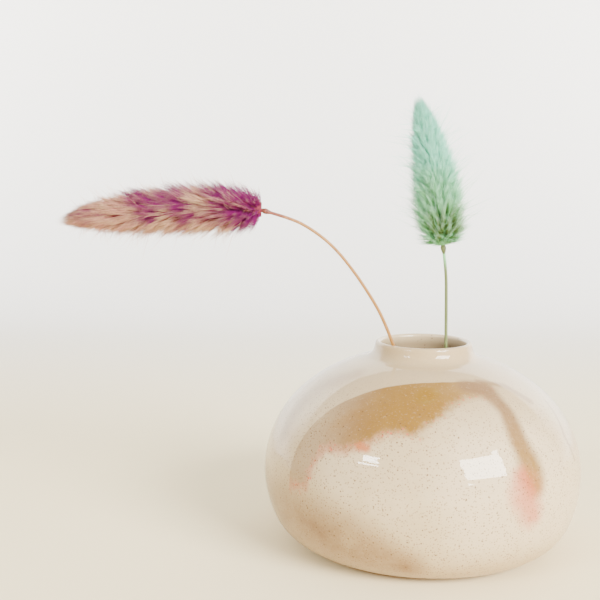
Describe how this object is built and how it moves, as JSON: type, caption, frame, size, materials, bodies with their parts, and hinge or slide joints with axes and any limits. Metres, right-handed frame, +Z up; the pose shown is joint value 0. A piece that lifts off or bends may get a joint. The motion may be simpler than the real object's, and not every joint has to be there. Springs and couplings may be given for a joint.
{
  "type": "bud vase",
  "caption": "Squat round glazed stoneware bud vase with a small collared mouth, holding dried bunny-tail grass stems that lift out.",
  "frame": {"origin": "centre of the foot ring, on the plane the vase stands on", "axes": "+Z up out of the mouth; the decorated front of the vase faces -Y; the drooping rose stem leans out towards -X"},
  "size_m": [0.1598, 0.1, 0.1386],
  "materials": {
    "stoneware": "matte",
    "outside_glaze": "gloss",
    "inside_glaze": "gloss",
    "rose_straw": "satin",
    "rose_node": "satin",
    "rose_husk": "matte",
    "rose_hair": "matte",
    "green_straw": "satin",
    "green_node": "satin",
    "green_husk": "matte",
    "green_hair": "matte"
  },
  "bodies": {
    "vase": {"stoneware_body": "stoneware", "outer_glaze": "outside_glaze", "inner_glaze": "inside_glaze"},
    "rose_stem": {"rose_culm": "rose_straw", "rose_collar": "rose_node", "rose_rachis": "rose_straw", "rose_spikelets": "rose_husk", "rose_plume": "rose_hair"},
    "green_stem": {"green_culm": "green_straw", "green_collar": "green_node", "green_rachis": "green_straw", "green_spikelets": "green_husk", "green_plume": "green_hair"}
  },
  "joints": [
    {"name": "rose_lift", "type": "slide", "parent": "vase", "child": "rose_stem", "axis": [-0.3624, -0.2219, 0.9052], "range_m": [0, 0.08]},
    {"name": "green_lift", "type": "slide", "parent": "vase", "child": "green_stem", "axis": [-0.0332, -0.1155, 0.9928], "range_m": [0, 0.08]}
  ]
}
